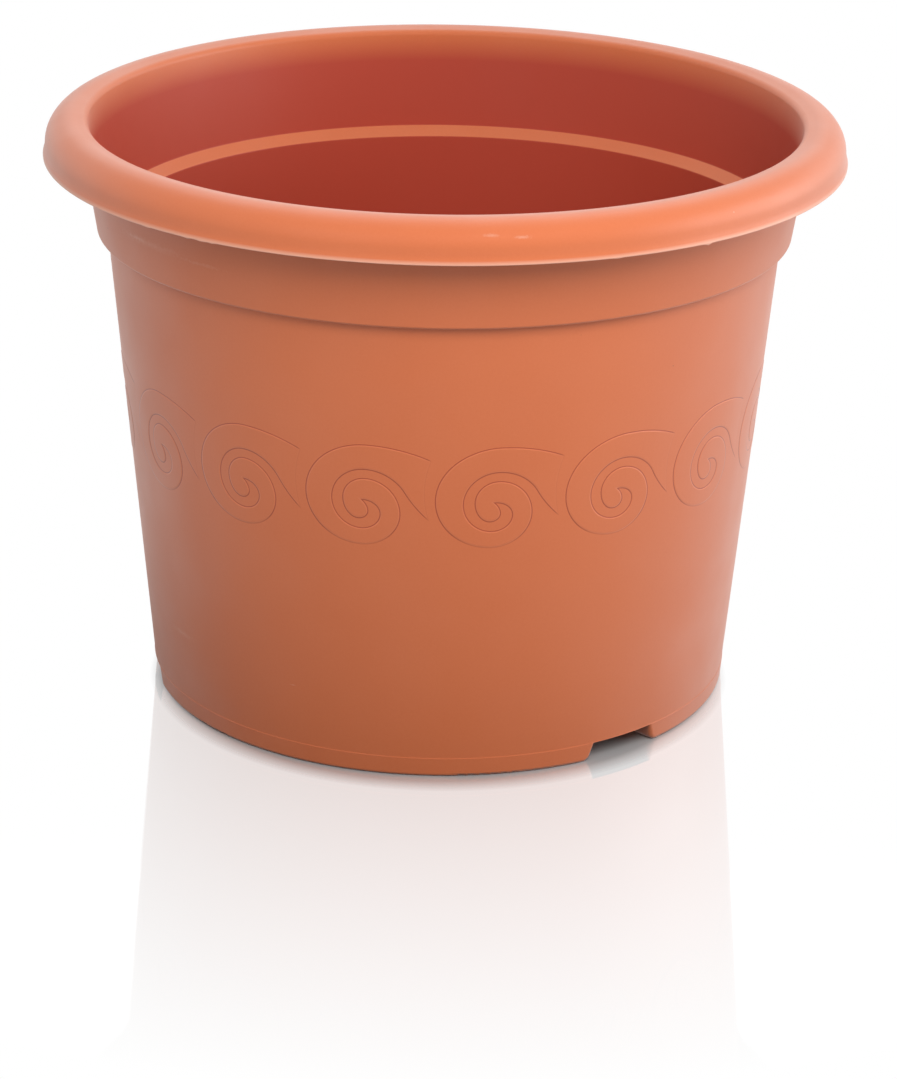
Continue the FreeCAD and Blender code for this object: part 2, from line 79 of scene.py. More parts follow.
# Sizes that follow from them
WALL_SLOPE = math.tan(WALL_TAPER)
WALL_SPAN = WALL_THICKNESS / math.cos(WALL_TAPER)
COLLAR_SLOPE = math.tan(COLLAR_TAPER)
COLLAR_SPAN = WALL_THICKNESS / math.cos(COLLAR_TAPER)
LIP_HEIGHT = POT_HEIGHT - LIP_DROP
SKIRT_LIP_RADIUS = RIM_RADIUS - BEAD_WIDTH
ROLL_REACH = (ROLL_RADIUS - (ROLL_RADIUS - LIP_DROP) * math.sin(SKIRT_LEAN)) / math.cos(SKIRT_LEAN)
ROLL_CENTRE = SKIRT_LIP_RADIUS - ROLL_REACH
ROLL_HEIGHT = POT_HEIGHT - ROLL_RADIUS
HOLLOW_RADIUS = ROLL_RADIUS - WALL_THICKNESS
STEP_HEIGHT = POT_HEIGHT - COLLAR_DROP
COLLAR_CROWN_RADIUS = RIM_RADIUS - RIM_WIDTH + COLLAR_SPAN
COLLAR_LOW_RADIUS = COLLAR_CROWN_RADIUS - COLLAR_DROP * COLLAR_SLOPE
BASE_RADIUS = COLLAR_LOW_RADIUS - COLLAR_STEP - STEP_HEIGHT * WALL_SLOPE
JOINT_HEIGHT = ROLL_HEIGHT - RIM_JOINT_DROP
FLOOR_TOP = FOOT_HEIGHT + FLOOR_THICKNESS
SCROLL_RADIUS = BASE_RADIUS + SCROLL_EYE_HEIGHT * WALL_SLOPE
SCROLL_PITCH = math.tau * SCROLL_RADIUS / SCROLL_COUNT

# Outline of a scroll from its eye, as shares of its pitch (across) and of its height (up)
OUTER_TURNS = (
    (0.034, 0.555), (-0.460, 0.036), (-0.032, -0.445), (0.279, -0.109),
    (0.015, 0.223), (-0.165, 0.013), (-0.042, -0.184), (0.036, -0.099),
)
INNER_TURNS = ((0.017, 0.304), (-0.245, 0.000), (-0.026, -0.272), (0.122, -0.120))
EYE = (-0.006, 0.004)
EYE_APPROACH = (0.036, -0.043)
TAIL_TOP = (0.517, 0.428)
TAIL_CREST = (0.290, 0.555)
TAIL_FOOT = (0.496, -0.178)
TAIL_SHOULDER = (0.212, 0.304)
TAIL_BEND = (0.309, 0.101)
TAIL_HOLLOW = (0.384, -0.056)

# Fineness of the meshes
TURN_STEPS = 360                        # flats round a turned piece
RIM_STEPS = 540                         # flats round the rim, whose lip shows small burrs
ARC_SAG = 0.012 * MM                    # a rounded corner's points leave its true arc by this
WELD = 0.002 * MM                       # points closer than this are one
SMOOTH_ANGLE = math.radians(32)         # edges sharper than this stay sharp

# Small finish of the turned pieces
LIP_ROUND = 0.22 * MM
LIP_LINE = 0.45 * MM                    # height of the lip's upright edge, rubbed pale and given a painted highlight
LIP_FLARE = 2.6 * MM                    # the skirt swells to the lip over this height
LIP_FLARE_ROUND = 9 * MM                # and bends into it with this radius
CORE_EDGE_DROP = 2.8 * MM               # the polished core, and the painted shade of the inside, reach up to this far below the crown
HOLE_ROUND = 0.5 * MM
HOLE_ROUND_STEPS = 3
HOLE_STEPS = 64
MOULD_LINE_WIDTH = 0.16 * MM            # fine ridge that the mould leaves above the foot
MOULD_LINE_HEIGHT = 0.3 * MM
BURR_WIDTH = math.radians(0.7)
# Burrs of moulding flash on the lip: azimuth in degrees and how far each hangs down
BURRS = ((37.2, 0.7 * MM), (23.1, 0.25 * MM), (-32.1, 0.3 * MM), (-33.7, 0.45 * MM), (-36.2, 0.35 * MM),
         (-43.5, 0.25 * MM), (112, 0.4 * MM), (171, 0.5 * MM), (-124, 0.35 * MM))

# Soft edge of a scroll: a few small insets of one width, and the climb of each, the last one level
SCROLL_INSET = 0.13 * MM
SCROLL_CLIMBS = (0.01 * MM, 0.01 * MM, 0.02 * MM, 0.04 * MM, 0.04 * MM, 0.02 * MM, 0)
SCROLL_RELIEF = sum(SCROLL_CLIMBS)
SCROLL_FOOT = 0.03 * MM                 # lower than this is the painted shade line round a scroll's foot
SCROLL_EDGE = 0.07 * MM                 # and higher than this its rubbed edge, with a painted highlight
SCROLL_RUB_AND_HIGHLIGHT = 0.1                        # as a share of the lip's rubbing and painted highlight
LOW_EDGE_START = 11.5 * MM              # under its eye the painted shade line round a scroll dies away from here
LOW_EDGE_END = 16.5 * MM                # to here
LOW_EDGE_TONE = 0.25                    # and keeps this share
TAIL_FADE = 9 * MM                      # a scroll's tail dies away into the wall over this length
TAIL_LINE_FADE = 1.5 * MM               # and the painted shade and pale rub round it over this one
SCROLL_SEAT = 0.25 * MM                 # a scroll's underside is sunk this far into the wall
SCROLL_STEP = 0.55 * MM                 # from point to point of its outline
SCROLL_TIP_WELD = 0.15 * MM             # an inset that runs together in a narrow tip is one point there
SCROLL_SLICE = 2.4 * MM                 # its faces are cut this wide, so that they follow the wall
SCROLL_SMOOTH_ANGLE = math.radians(50)


def wall_radius(height):
    return BASE_RADIUS + height * WALL_SLOPE


def collar_radius(height):
    return COLLAR_LOW_RADIUS + (height - STEP_HEIGHT) * COLLAR_SLOPE


def skirt_radius(height):
    return SKIRT_LIP_RADIUS - (height - LIP_HEIGHT) * math.tan(SKIRT_LEAN)


def rim_top_corner(roll, foot_radius, lean):
    """Corner where the rim's sloping top, or its underside, meets an upright face that leans out."""
    start = ROLL_HEIGHT + roll / math.cos(RIM_SLOPE) - ROLL_CENTRE * math.tan(RIM_SLOPE)
    height = (start + foot_radius * math.tan(RIM_SLOPE)) / (1 - lean * math.tan(RIM_SLOPE))
    return foot_radius + height * lean, height


# Drawing and turning

def begin_piece(name):
    """A new mesh of one point at the origin, in edit mode: the start of a drawn line."""
    bpy.ops.object.select_all(action="DESELECT")
    bpy.ops.mesh.primitive_plane_add(size=MM)
    piece = bpy.context.object
    piece.name = name
    piece.data.name = name
    bpy.ops.object.mode_set(mode="EDIT")
    bpy.ops.mesh.merge(type="CENTER")
    return piece


def draw_closed_line(points):
    """Draws a closed line through the points by extruding the piece's one point along it."""
    bpy.ops.transform.translate(value=points[0])
    for start, end in zip(points, points[1:] + points[:1]):
        bpy.ops.mesh.extrude_region_move(TRANSFORM_OT_translate={"value": end - start})
    bpy.ops.mesh.select_all(action="SELECT")
    bpy.ops.mesh.remove_doubles(threshold=WELD)


def round_corners(corners):
    """Section points of a closed outline whose corners are (radius, height, rounding)."""
    points = []
    count = len(corners)
    for index, (across, up, rounding) in enumerate(corners):
        corner = Vector((across, 0, up))
        if rounding == 0:
            points.append(corner)
            continue
        before = (section_point(corners[index - 1]) - corner).normalized()
        after = (section_point(corners[(index + 1) % count]) - corner).normalized()
        opening = before.angle(after)
        middle = corner + (before + after).normalized() * rounding / math.sin(opening / 2)
        start = (corner + before * rounding / math.tan(opening / 2) - middle).normalized()
        end = (corner + after * rounding / math.tan(opening / 2) - middle).normalized()
        steps = math.ceil((math.pi - opening) / (2 * math.acos(1 - ARC_SAG / rounding)))
        points += [middle + start.slerp(end, step / steps) * rounding for step in range(steps + 1)]
    return points


def section_point(corner):
    return Vector((corner[0], 0, corner[1]))


def turn_piece(name, corners, steps=TURN_STEPS):
    """Spins a section once round the pot's axis."""
    piece = begin_piece(name)
    draw_closed_line(round_corners(corners))
    bpy.ops.mesh.spin(steps=steps, angle=math.tau, center=(0, 0, 0), axis=(0, 0, 1))
    bpy.ops.mesh.select_all(action="SELECT")
    bpy.ops.mesh.remove_doubles(threshold=WELD)
    bpy.ops.mesh.normals_make_consistent(inside=False)
    finish_shading()
    return piece


def finish_shading():
    """Smooth shading in which long faces, and not the small roundings beside them, set the normals."""
    bpy.ops.object.mode_set(mode="OBJECT")
    bpy.ops.object.shade_smooth_by_angle(angle=SMOOTH_ANGLE)
    weights = bpy.context.object.modifiers.new("long_faces_lead", "WEIGHTED_NORMAL")
    weights.keep_sharp = True
    bpy.ops.object.modifier_apply(modifier=weights.name)


# Pieces

def make_rim():
    lip_inside = SKIRT_LIP_RADIUS - LIP_THICKNESS
    hollow_side = ROLL_CENTRE + HOLLOW_RADIUS
    hollow_lean = (hollow_side - lip_inside) / (ROLL_HEIGHT - LIP_HEIGHT)
    rim = turn_piece("pot_rim", (
        (collar_radius(JOINT_HEIGHT) - COLLAR_SPAN, JOINT_HEIGHT, 0),
        (*rim_top_corner(ROLL_RADIUS, collar_radius(0) - COLLAR_SPAN, COLLAR_SLOPE), RIM_EDGE),
        (*rim_top_corner(ROLL_RADIUS, skirt_radius(0), -math.tan(SKIRT_LEAN)), ROLL_RADIUS),
        (skirt_radius(LIP_HEIGHT + LIP_FLARE), LIP_HEIGHT + LIP_FLARE, LIP_FLARE_ROUND),
        (RIM_RADIUS, LIP_HEIGHT + LIP_LINE, 0),
        (RIM_RADIUS, LIP_HEIGHT, LIP_ROUND),
        (lip_inside, LIP_HEIGHT, LIP_ROUND),
        (*rim_top_corner(HOLLOW_RADIUS, lip_inside - LIP_HEIGHT * hollow_lean, hollow_lean), HOLLOW_RADIUS),
        (*rim_top_corner(HOLLOW_RADIUS, collar_radius(0), COLLAR_SLOPE), HOLLOW_CORNER),
        (collar_radius(JOINT_HEIGHT), JOINT_HEIGHT, 0),
    ), RIM_STEPS)
    tones = rim.data.attributes.new("edge_shade_and_rub", "FLOAT", "POINT")
    for vertex, tone in zip(rim.data.vertices, tones.data):
        # the lip's edge is painted pale, as rubbing and as its highlight
        if vertex.co.z < LIP_HEIGHT + LIP_LINE + WELD and vertex.co.xy.length > RIM_RADIUS - BEAD_WIDTH:
            tone.value = 1
            if vertex.co.z < LIP_HEIGHT + LIP_LINE - WELD:
                vertex.co.z -= burr_drop(math.atan2(vertex.co.x, -vertex.co.y))
    note_inside_shade_and_core(rim, lambda place: place.xy.length < collar_radius(place.z) - COLLAR_SPAN / 2
                   and place.z < POT_HEIGHT - CORE_EDGE_DROP)
    return rim


def note_inside_shade_and_core(piece, is_inside):
    """Notes for the material which points of a piece lie on the inside of the pot, where its colour gets
    painted shade and its bloom and skin are left off.
    """
    sides = piece.data.attributes.new("inside_shade_and_core", "FLOAT", "POINT")
    for vertex, side in zip(piece.data.vertices, sides.data):
        side.value = is_inside(vertex.co)


def burr_drop(turn):
    """How far the lip hangs down at an azimuth."""
    return max(drop * max(0, 1 - abs(turn - math.radians(azimuth)) / BURR_WIDTH) for azimuth, drop in BURRS)


def make_collar():
    ledge_low = STEP_HEIGHT + LEDGE_HEIGHT
    ledge_high = ledge_low + LEDGE_RISE
    collar = turn_piece("pot_collar", (
        (wall_radius(STEP_HEIGHT) - WALL_SPAN, STEP_HEIGHT, 0),
        (collar_radius(STEP_HEIGHT), STEP_HEIGHT, COLLAR_EDGE),
        (collar_radius(JOINT_HEIGHT), JOINT_HEIGHT, 0),
        (collar_radius(JOINT_HEIGHT) - COLLAR_SPAN, JOINT_HEIGHT, 0),
        (collar_radius(ledge_high) - COLLAR_SPAN, ledge_high, LEDGE_EDGE),
        (wall_radius(ledge_low) - WALL_SPAN, ledge_low, LEDGE_EDGE),
    ))
    # the ledge is kept out of the painted inside shade
    note_inside_shade_and_core(collar, lambda place: place.xy.length < collar_radius(place.z) - COLLAR_SPAN / 2
                   and not ledge_low < place.z < ledge_high)
    return collar


def make_wall():
    floor_edge = wall_radius(FLOOR_TOP) - WALL_SPAN
    mould_line_top = FOOT_HEIGHT + MOULD_LINE_HEIGHT
    wall = turn_piece("pot_wall", (
        (wall_radius(STEP_HEIGHT) - WALL_SPAN, STEP_HEIGHT, 0),
        (floor_edge, FLOOR_TOP, FLOOR_CORNER),
        (floor_edge - FLOOR_CORNER, FLOOR_TOP, 0),
        (floor_edge - FLOOR_CORNER, FOOT_HEIGHT, 0),
        (wall_radius(FOOT_HEIGHT) + MOULD_LINE_WIDTH, FOOT_HEIGHT, 0),
        (wall_radius(mould_line_top), mould_line_top, 0),
        (wall_radius(STEP_HEIGHT), STEP_HEIGHT, 0),
    ))
    note_inside_shade_and_core(wall, lambda place: place.xy.length < wall_radius(place.z) - WALL_SPAN / 2
                   and place.z > FOOT_HEIGHT)
    return wall


def make_floor():
    """Flat floor with its drain holes drilled and their edges rounded."""
    radius = wall_radius(FLOOR_TOP) - WALL_SPAN - FLOOR_CORNER
    middle = Vector((0, 0, FOOT_HEIGHT + FLOOR_THICKNESS / 2))
    bpy.ops.object.select_all(action="DESELECT")
    bpy.ops.mesh.primitive_cylinder_add(vertices=TURN_STEPS, radius=radius, depth=FLOOR_THICKNESS,
                                        location=middle)
    floor = bpy.context.object
    floor.name = "pot_floor"
    floor.data.name = "pot_floor"
    bpy.ops.object.transform_apply(location=True)
    holes = [middle + Matrix.Rotation(NOTCH_ANGLE + math.tau * number / DRAIN_HOLES, 3, "Z") @ FRONT
             * (radius - DRAIN_INSET) for number in range(DRAIN_HOLES)]
    for hole in holes:
        drill_hole(floor, hole)
    bpy.ops.object.mode_set(mode="EDIT")
    bpy.ops.mesh.select_mode(type="EDGE")
    bpy.ops.mesh.select_all(action="DESELECT")
    bpy.ops.object.mode_set(mode="OBJECT")
    for edge in floor.data.edges:
        ends = [floor.data.vertices[index].co for index in edge.vertices]
        edge.select = abs(ends[0].z - ends[1].z) < WELD and any(is_on_hole(ends, hole) for hole in holes)
    bpy.ops.object.mode_set(mode="EDIT")
    bpy.ops.mesh.bevel(offset=HOLE_ROUND, segments=HOLE_ROUND_STEPS)
    bpy.ops.mesh.select_mode(type="VERT")
    finish_shading()
    note_inside_shade_and_core(floor, lambda place: place.z > FLOOR_TOP - WELD)
    return floor


def drill_hole(floor, place):
    bpy.ops.object.select_all(action="DESELECT")
    bpy.ops.mesh.primitive_cylinder_add(vertices=HOLE_STEPS, radius=DRAIN_RADIUS, depth=2 * FLOOR_THICKNESS,
                                        location=place)
    drill = bpy.context.object
    bpy.context.view_layer.objects.active = floor
    cut = floor.modifiers.new("drain_hole", "BOOLEAN")
    cut.object = drill
    bpy.ops.object.modifier_apply(modifier=cut.name)
    bpy.data.objects.remove(drill)


def is_on_hole(points, hole):
    return all(abs(math.hypot(point.x - hole.x, point.y - hole.y) - DRAIN_RADIUS) < WELD for point in points)


# Frieze

def scroll_point(share):
    across, up = share
    return Vector((across * SCROLL_PITCH, SCROLL_SEAT, SCROLL_EYE_HEIGHT + up * SCROLL_HEIGHT))


def conic(start, corner, end):
    """Points of a round stretch that starts and ends along the lines to the corner, without its last one."""
    weight = math.cos((corner - start).angle(end - corner) / 2)
    steps = math.ceil(((corner - start).length + (end - corner).length) / SCROLL_STEP)
    points = []
    for step in range(steps):
        share = step / steps
        shares = ((1 - share) ** 2, 2 * weight * share * (1 - share), share ** 2)
        points.append((start * shares[0] + corner * shares[1] + end * shares[2]) / sum(shares))
    return points


def quarter_turns(extremes):
    """Quarter ellipses through topmost, leftmost, lowest and rightmost points in turn, to the last one."""
    points = []
    for index, (start, end) in enumerate(zip(extremes, extremes[1:])):
        corner = (end[0], start[1]) if index % 2 == 0 else (start[0], end[1])
        points += conic(scroll_point(start), scroll_point(corner), scroll_point(end))
    return points + [scroll_point(extremes[-1])]


def tail_circle():
    """Middle and radius of the arc that ends the tail, hollow towards the next scroll."""
    foot = scroll_point(TAIL_FOOT)
    top = scroll_point(TAIL_TOP)
    waist = scroll_point((1 + OUTER_TURNS[1][0], OUTER_TURNS[1][1]))
    waist.x -= SCROLL_GAP
    first = (foot + waist) / 2
    second = (waist + top) / 2
    first_square = Vector((waist.z - foot.z, 0, foot.x - waist.x))
    second_square = Vector((top.z - waist.z, 0, waist.x - top.x))
    across = second - first
    reach = ((across.x * second_square.z - across.z * second_square.x)
             / (first_square.x * second_square.z - first_square.z * second_square.x))
    middle = first + first_square * reach
    return middle, (foot - middle).length


def tail_end():
    """Points of the arc that ends the tail, without its last one."""
    middle, radius = tail_circle()
    start = (scroll_point(TAIL_FOOT) - middle).normalized()
    end = (scroll_point(TAIL_TOP) - middle).normalized()
    steps = math.ceil(start.angle(end) * radius / SCROLL_STEP)
    return [middle + start.slerp(end, step / steps) * radius for step in range(steps)]


def scroll_outline():
    """One scroll laid flat: tail, outer edge in to the eye, inner edge out again, and the tail's end."""
    eye = scroll_point(EYE)
    inner_end = scroll_point(INNER_TURNS[-1])
    points = conic(scroll_point(TAIL_TOP), scroll_point(TAIL_CREST), scroll_point(OUTER_TURNS[0]))
    points += quarter_turns(OUTER_TURNS)[:-1]
    points += conic(scroll_point(OUTER_TURNS[-1]), scroll_point(EYE_APPROACH), eye)
    points += conic(eye, Vector((inner_end.x, SCROLL_SEAT, eye.z)), inner_end)
    points += quarter_turns(INNER_TURNS)[:0:-1]
    points += conic(scroll_point(INNER_TURNS[0]), scroll_point(TAIL_SHOULDER), scroll_point(TAIL_BEND))
    points += conic(scroll_point(TAIL_BEND), scroll_point(TAIL_HOLLOW), scroll_point(TAIL_FOOT))
    return points + tail_end()


def make_scroll():
    """A soft-edged raised scroll at the pot's front, modelled flat and then laid round the wall."""
    scroll = begin_piece("scroll")
    draw_closed_line(scroll_outline())
    bpy.ops.mesh.edge_face_add()
    bpy.ops.mesh.extrude_region_move(TRANSFORM_OT_translate={"value": FRONT * SCROLL_SEAT})
    for climb in SCROLL_CLIMBS:
        bpy.ops.mesh.inset(thickness=SCROLL_INSET, depth=0)
        bpy.ops.transform.translate(value=FRONT * climb)
        bpy.ops.mesh.remove_doubles(threshold=SCROLL_TIP_WELD)
    bpy.ops.mesh.select_all(action="SELECT")
    bpy.ops.mesh.normals_make_consistent(inside=False)
    slices = math.ceil(SCROLL_PITCH / SCROLL_SLICE)
    for number in range(-slices // 2, slices // 2 + 1):
        bpy.ops.mesh.select_all(action="SELECT")
        bpy.ops.mesh.bisect(plane_co=(number * SCROLL_SLICE, 0, 0), plane_no=(1, 0, 0))
    bpy.ops.object.mode_set(mode="OBJECT")
    lay_round_wall(scroll)
    bpy.ops.object.shade_smooth_by_angle(angle=SCROLL_SMOOTH_ANGLE)
    return scroll


def lay_round_wall(scroll):
    """Fades the tail into the wall, notes for the material the foot, which gets painted shade, and the edge,
    which is rubbed and gets a painted highlight, and bends the scroll.
    """
    tones = scroll.data.attributes.new("edge_shade_and_rub", "FLOAT", "POINT")
    middle, radius = tail_circle()
    for vertex, tone in zip(scroll.data.vertices, tones.data):
        to_end = abs(math.hypot(vertex.co.x - middle.x, vertex.co.z - middle.z) - radius)
        is_tail = vertex.co.x > TAIL_BEND[0] * SCROLL_PITCH
        height = -vertex.co.y
        # the foot of the scroll gets painted shade, the edge above it rubbing and a painted highlight
        if height < SCROLL_FOOT:
            tone.value = -low_edge_share(SCROLL_EYE_HEIGHT - vertex.co.z)
        elif SCROLL_EDGE < height < SCROLL_RELIEF - WELD:
            tone.value = SCROLL_RUB_AND_HIGHLIGHT
        if is_tail:
            tone.value *= min(1, to_end / TAIL_LINE_FADE)
        if is_tail and height > SCROLL_CLIMBS[0]:
            height = SCROLL_CLIMBS[0] + (height - SCROLL_CLIMBS[0]) * min(1, to_end / TAIL_FADE)
        vertex.co.y = -math.sqrt((wall_radius(vertex.co.z) + height) ** 2 - vertex.co.x ** 2)


def low_edge_share(drop):
    """Share of the painted shade line that is left this far under a scroll's eye."""
    faded = (drop - LOW_EDGE_START) / (LOW_EDGE_END - LOW_EDGE_START)
    return 1 - (1 - LOW_EDGE_TONE) * min(1, max(0, faded))


def make_frieze():
    """The first scroll, copied round the pot."""
    pattern = make_scroll()
    scrolls = {}
    for number in range(SCROLL_COUNT):
        bpy.ops.object.select_all(action="DESELECT")
        pattern.select_set(True)
        bpy.context.view_layer.objects.active = pattern
        bpy.ops.object.duplicate()
        scroll = bpy.context.object
        node = f"scroll_{number + 1:02d}"
        scroll.name = f"raised_{node}"
        scroll.data.name = scroll.name
        scroll.rotation_euler.z = SCROLL_ANGLE + math.tau * number / SCROLL_COUNT
        bpy.ops.object.transform_apply(rotation=True)
        scrolls[node] = scroll
    bpy.data.objects.remove(pattern)
    return scrolls


# Material

def colour(code):
    """Linear colour of an sRGB hex value."""
    shares = [int(code[place:place + 2], 16) / 255 for place in (1, 3, 5)]
    return (*(share / 12.92 if share <= 0.04045 else ((share + 0.055) / 1.055) ** 2.4 for share in shares), 1)


def add_node(tree, kind, links, **settings):
    """Adds a node, with its settings, and for each socket a value or a link from another node's output."""
    node = tree.nodes.new(kind)
    for name, value in settings.items():
        setattr(node, name, value)
    for socket, source in links.items():
        if isinstance(source, bpy.types.NodeSocket):
            tree.links.new(source, node.inputs[socket])
        else:
            node.inputs[socket].default_value = source
    return node


def new_material(name):
    material = bpy.data.materials.new(name)
    material.use_nodes = True
    material.node_tree.nodes.clear()
    return material, material.node_tree


# Terracotta polypropylene
TERRACOTTA = "#d07043"
TERRACOTTA_DEEP = "#c86638"
# painted shade: the darker, redder colour of the pot's inside
TERRACOTTA_INSIDE_SHADE = "#a93a2f"
# painted shade in the foot of the scrolls
TERRACOTTA_FOOT_SHADE = "#963311"
# whitish rubbing, also the painted highlight on the edges of lip and scrolls
RUB_AND_HIGHLIGHT_WHITE = "#e6bda8"
FIBRE_DARK = "#57372c"
PLASTIC_IOR = 1.49
MOTTLE_SIZE = 38 * MM                   # slow drift of the pigment
MOTTLE_DETAIL = 3                       # octaves of this and the other patterns
GRAIN_SIZE = 0.9 * MM                   # fine spark-eroded mould grain, drawn coarse enough to show
GRAIN_DETAIL = 2
GRAIN_DEPTH = 0.01 * MM
GRAIN_SHARE = 0.45                      # of the grain in the colour's drift, the rest is the pigment's
SATIN = 0.46                            # roughness of a fine-grained moulded face
WORN = 0.54                             # and where handling has dulled it
WEAR_SIZE = 24 * MM
WEAR_DETAIL = 5
WEAR_START = 0.35                       # of its pattern, where the dulling starts
WEAR_FULL = 0.65                        # and where it is full
GIRTH_RADIUS = 130 * MM                 # where lengths along the girth are true
RAGGED_SIZE = 1.2 * MM                  # rub marks are broken up at this size
RAGGED_DETAIL = 3
RAGGED_SHARE = 1.5
MARK_CORE = 0.5                         # a mark is whole up to this share of its ragged reach
MARK_END = 1.5                          # and gone beyond this
FOOT_PAINTED_SHADE = 0.9                    # painted shade in the sharp foot of the scrolls
EDGE_RUB_AND_HIGHLIGHT = 0.5                          # rubbing and painted highlight on the lip, and less on the scrolls

# Inside the pot the colour is painted darker and redder, as painted shade of the hollow; the face moulded
# there on the polished core has no bloom or skin
INSIDE_SHADE_SHARE = 0.85
BLOOM = 0.2                             # weight of the fine pale bloom that dust and wear leave on the grain
BLOOM_ROUGHNESS = 0.45
SKIN = 0.4                              # weight of the smooth moulded skin over the pigment
SKIN_ROUGHNESS = 0.4

# Marks on the pot: colour, azimuth in degrees, height, length, width and strength
MARKS = (
    (RUB_AND_HIGHLIGHT_WHITE, 6.2, 217.2 * MM, 9 * MM, 1.6 * MM, 0.3),
    (RUB_AND_HIGHLIGHT_WHITE, 10.3, 216.4 * MM, 7 * MM, 1.8 * MM, 0.4),
    (RUB_AND_HIGHLIGHT_WHITE, 42.3, 215.8 * MM, 1.1 * MM, 1.1 * MM, 0.7),
    (RUB_AND_HIGHLIGHT_WHITE, -52, 192.8 * MM, 62 * MM, 5 * MM, 0.16),
    (RUB_AND_HIGHLIGHT_WHITE, -55.5, 193.1 * MM, 16 * MM, 2 * MM, 0.25),
    (RUB_AND_HIGHLIGHT_WHITE, -39.5, 191.7 * MM, 26 * MM, 2.4 * MM, 0.16),
    (RUB_AND_HIGHLIGHT_WHITE, -57.5, 34.5 * MM, 30 * MM, 4 * MM, 0.2),
    (RUB_AND_HIGHLIGHT_WHITE, -27.8, 31.2 * MM, 5 * MM, 0.6 * MM, 0.4),
    (FIBRE_DARK, 41.2, 154.2 * MM, 1.1 * MM, 0.8 * MM, 0.9),
    (FIBRE_DARK, -78.5, 216.2 * MM, 1.6 * MM, 1.1 * MM, 0.8),
    (FIBRE_DARK, -67.7, 189 * MM, 1.2 * MM, 1 * MM, 0.8),
    (FIBRE_DARK, 22.4, 172.7 * MM, 0.9 * MM, 0.7 * MM, 0.4),
)


def make_polypropylene():
    """Injection-moulded polypropylene, pigmented through: a satin face with fine mould grain, a slow drift of
    the pigment, a few dark fibres in it, and whitish rub marks along the girth from stacking and handling."""
    material, tree = new_material("moulded_terracotta_polypropylene")
    place = add_node(tree, "ShaderNodeTexCoord", {}).outputs["Object"]
    mottle = add_node(tree, "ShaderNodeTexNoise", {"Vector": place, "Scale": 1 / MOTTLE_SIZE,
                                                   "Detail": MOTTLE_DETAIL})
    grain = add_node(tree, "ShaderNodeTexNoise", {"Vector": place, "Scale": 1 / GRAIN_SIZE,
                                                  "Detail": GRAIN_DETAIL})
    wear = add_node(tree, "ShaderNodeTexNoise", {"Vector": place, "Scale": 1 / WEAR_SIZE,
                                                 "Detail": WEAR_DETAIL})
    drift = add_node(tree, "ShaderNodeMix", {"Factor": GRAIN_SHARE, "A": mottle.outputs["Fac"],
                                             "B": grain.outputs["Fac"]})
    pigment = add_node(tree, "ShaderNodeMix", {"Factor": drift.outputs["Result"], "A": colour(TERRACOTTA),
                                               "B": colour(TERRACOTTA_DEEP)}, data_type="RGBA")
    inside = add_node(tree, "ShaderNodeAttribute", {}, attribute_name="inside_shade_and_core")
    # painted shade inside the pot: the colour there is mixed towards its darker inside copy
    cover = add_node(tree, "ShaderNodeMath", {0: inside.outputs["Fac"], 1: INSIDE_SHADE_SHARE},
                     operation="MULTIPLY")
    inside_shaded = add_node(tree, "ShaderNodeMix", {"Factor": cover.outputs[0], "A": pigment.outputs["Result"],
                                             "B": colour(TERRACOTTA_INSIDE_SHADE)}, data_type="RGBA")
    marked = add_marks(tree, place, add_edge_tones(tree, inside_shaded.outputs["Result"]))
    gloss = add_node(tree, "ShaderNodeMapRange", {"Value": wear.outputs["Fac"], "From Min": WEAR_START,
                                                  "From Max": WEAR_FULL, "To Min": SATIN, "To Max": WORN})
    bloom = add_node(tree, "ShaderNodeMapRange", {"Value": inside.outputs["Fac"], "To Min": BLOOM,
                                                  "To Max": 0})
    skin = add_node(tree, "ShaderNodeMapRange", {"Value": inside.outputs["Fac"], "To Min": SKIN, "To Max": 0})
    bump = add_node(tree, "ShaderNodeBump", {"Height": grain.outputs["Fac"], "Distance": GRAIN_DEPTH})
    shader = add_node(tree, "ShaderNodeBsdfPrincipled", {
        "Base Color": marked, "Roughness": gloss.outputs["Result"], "IOR": PLASTIC_IOR,
        "Normal": bump.outputs["Normal"], "Sheen Weight": bloom.outputs["Result"],
        "Sheen Roughness": BLOOM_ROUGHNESS, "Coat Weight": skin.outputs["Result"],
        "Coat Roughness": SKIN_ROUGHNESS})
    add_node(tree, "ShaderNodeOutputMaterial", {"Surface": shader.outputs["BSDF"]})
    return material


def add_edge_tones(tree, ground):
    """Paints shade in the foot of a raised scroll, and pales the edges of scrolls and lip as rubbing and
    painted highlight.
    """
    tone = add_node(tree, "ShaderNodeAttribute", {}, attribute_name="edge_shade_and_rub").outputs["Fac"]
    for tint, limit, strength in ((TERRACOTTA_FOOT_SHADE, -1, FOOT_PAINTED_SHADE), (RUB_AND_HIGHLIGHT_WHITE, 1, EDGE_RUB_AND_HIGHLIGHT)):
        cover = add_node(tree, "ShaderNodeMapRange", {"Value": tone, "From Min": 0, "From Max": limit,
                                                      "To Min": 0, "To Max": strength})
        ground = add_node(tree, "ShaderNodeMix", {"Factor": cover.outputs["Result"], "A": ground,
                                                  "B": colour(tint)}, data_type="RGBA").outputs["Result"]
    return ground


